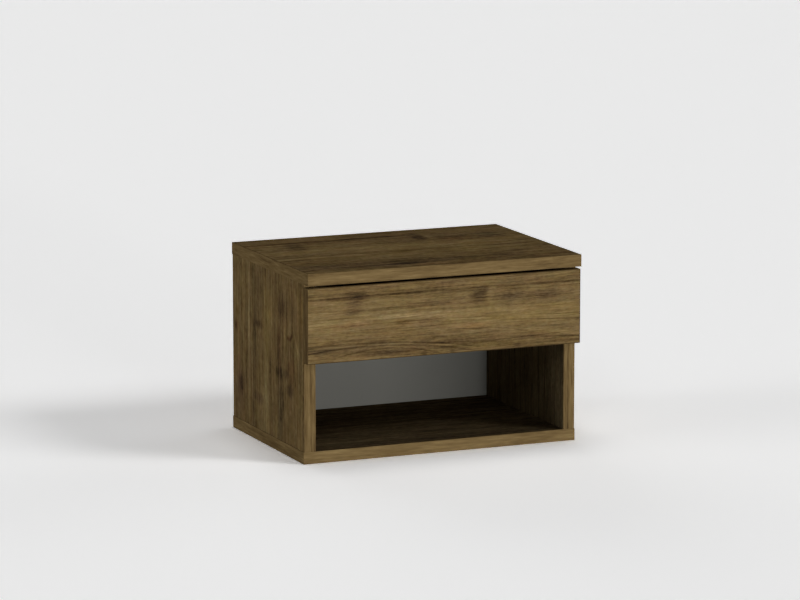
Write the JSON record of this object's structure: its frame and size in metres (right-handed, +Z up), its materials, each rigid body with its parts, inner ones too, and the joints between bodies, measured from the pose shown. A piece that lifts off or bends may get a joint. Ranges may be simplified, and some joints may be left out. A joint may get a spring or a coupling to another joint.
{
  "type": "floating nightstand",
  "caption": "Wall-hung bedside table in dark walnut decor: a handle-less drawer on ball-bearing slides under an overhanging top, above an open shelf with a grey back.",
  "frame": {"origin": "on the underside of the base, midway between the left and right ends of the top and between the drawer's face and the wall", "axes": "+Z up, +Y towards the wall, the drawer faces and opens along -Y, +X to the right as seen from the front"},
  "size_m": [0.434, 0.305, 0.283],
  "materials": {
    "walnut_decor": "satin melamine with a printed walnut grain",
    "walnut_band": "satin plastic edge band with a walnut grain along its length",
    "grey_hardboard": "lacquered hardboard, light grey",
    "pale_board": "fine textured melamine, light grey",
    "zinc_steel": "bright zinc plating",
    "cast_zinc": "dull zinc casting",
    "black_plastic": "moulded, matt"
  },
  "bodies": {
    "cabinet": {"top_panel": "walnut_decor", "base_panel": "walnut_decor", "left_side_panel": "walnut_decor", "right_side_panel": "walnut_decor", "back_panel": "grey_hardboard", "hanging_rail": "walnut_decor", "top_edge_band": "walnut_band", "base_edge_band": "walnut_band", "left_side_edge_band": "walnut_band", "right_side_edge_band": "walnut_band", "left_top_cam_front": "cast_zinc", "right_top_cam_front": "cast_zinc", "left_top_cam_rear": "cast_zinc", "right_top_cam_rear": "cast_zinc", "left_top_bolt_front": "zinc_steel", "right_top_bolt_front": "zinc_steel", "left_top_bolt_rear": "zinc_steel", "right_top_bolt_rear": "zinc_steel", "left_base_screw_front": "zinc_steel", "right_base_screw_front": "zinc_steel", "left_base_screw_rear": "zinc_steel", "right_base_screw_rear": "zinc_steel", "left_rail_cam": "cast_zinc", "right_rail_cam": "cast_zinc", "left_rail_bolt": "zinc_steel", "right_rail_bolt": "zinc_steel", "left_cabinet_member": "zinc_steel", "right_cabinet_member": "zinc_steel", "left_cabinet_member_screw_front": "zinc_steel", "right_cabinet_member_screw_front": "zinc_steel", "left_cabinet_member_screw_rear": "zinc_steel", "right_cabinet_member_screw_rear": "zinc_steel"},
    "drawer": {"drawer_front": "walnut_decor", "drawer_front_edge_band": "walnut_band", "left_drawer_side": "pale_board", "right_drawer_side": "pale_board", "drawer_back": "pale_board", "drawer_bottom": "grey_hardboard", "left_drawer_cam": "cast_zinc", "right_drawer_cam": "cast_zinc", "left_drawer_bolt": "zinc_steel", "right_drawer_bolt": "zinc_steel", "left_drawer_back_screw_lower": "zinc_steel", "right_drawer_back_screw_lower": "zinc_steel", "left_drawer_back_screw_upper": "zinc_steel", "right_drawer_back_screw_upper": "zinc_steel", "left_drawer_member": "zinc_steel", "right_drawer_member": "zinc_steel", "left_drawer_member_screw_front": "zinc_steel", "right_drawer_member_screw_front": "zinc_steel", "left_drawer_member_screw_rear": "zinc_steel", "right_drawer_member_screw_rear": "zinc_steel"},
    "left_intermediate": {"left_intermediate_member": "zinc_steel"},
    "right_intermediate": {"right_intermediate_member": "zinc_steel"},
    "left_outer_cage": {"left_outer_ball_cage": "zinc_steel"},
    "right_outer_cage": {"right_outer_ball_cage": "zinc_steel"},
    "left_inner_cage": {"left_inner_ball_cage": "zinc_steel"},
    "right_inner_cage": {"right_inner_ball_cage": "zinc_steel"},
    "left_lever": {"left_release_lever": "black_plastic"},
    "right_lever": {"right_release_lever": "black_plastic"}
  },
  "joints": [
    {"name": "drawer_slide", "type": "slide", "parent": "cabinet", "child": "drawer", "axis": [0, -1, 0], "range_m": [0, 0.25]},
    {"name": "left_intermediate_slide", "type": "slide", "parent": "cabinet", "child": "left_intermediate", "axis": [0, -1, 0], "range_m": [0, 0.125]},
    {"name": "right_intermediate_slide", "type": "slide", "parent": "cabinet", "child": "right_intermediate", "axis": [0, -1, 0], "range_m": [0, 0.125]},
    {"name": "left_outer_cage_slide", "type": "slide", "parent": "cabinet", "child": "left_outer_cage", "axis": [0, -1, 0], "range_m": [0, 0.0625]},
    {"name": "right_outer_cage_slide", "type": "slide", "parent": "cabinet", "child": "right_outer_cage", "axis": [0, -1, 0], "range_m": [0, 0.0625]},
    {"name": "left_inner_cage_slide", "type": "slide", "parent": "cabinet", "child": "left_inner_cage", "axis": [0, -1, 0], "range_m": [0, 0.1875]},
    {"name": "right_inner_cage_slide", "type": "slide", "parent": "cabinet", "child": "right_inner_cage", "axis": [0, -1, 0], "range_m": [0, 0.1875]},
    {"name": "left_lever_pivot", "type": "hinge", "parent": "drawer", "child": "left_lever", "pos_m": [-0.1886, -0.0065, 0.21], "axis": [-1, 0, 0], "range_deg": [0, 8], "stiffness_Nm_per_rad": 0.1},
    {"name": "right_lever_pivot", "type": "hinge", "parent": "drawer", "child": "right_lever", "pos_m": [0.1886, -0.0065, 0.21], "axis": [-1, 0, 0], "range_deg": [0, 8], "stiffness_Nm_per_rad": 0.1}
  ],
  "couplings": [
    {"joint": "left_intermediate_slide", "follows": "drawer_slide", "ratio": 0.5},
    {"joint": "right_intermediate_slide", "follows": "drawer_slide", "ratio": 0.5},
    {"joint": "left_outer_cage_slide", "follows": "drawer_slide", "ratio": 0.25},
    {"joint": "right_outer_cage_slide", "follows": "drawer_slide", "ratio": 0.25},
    {"joint": "left_inner_cage_slide", "follows": "drawer_slide", "ratio": 0.75},
    {"joint": "right_inner_cage_slide", "follows": "drawer_slide", "ratio": 0.75}
  ]
}
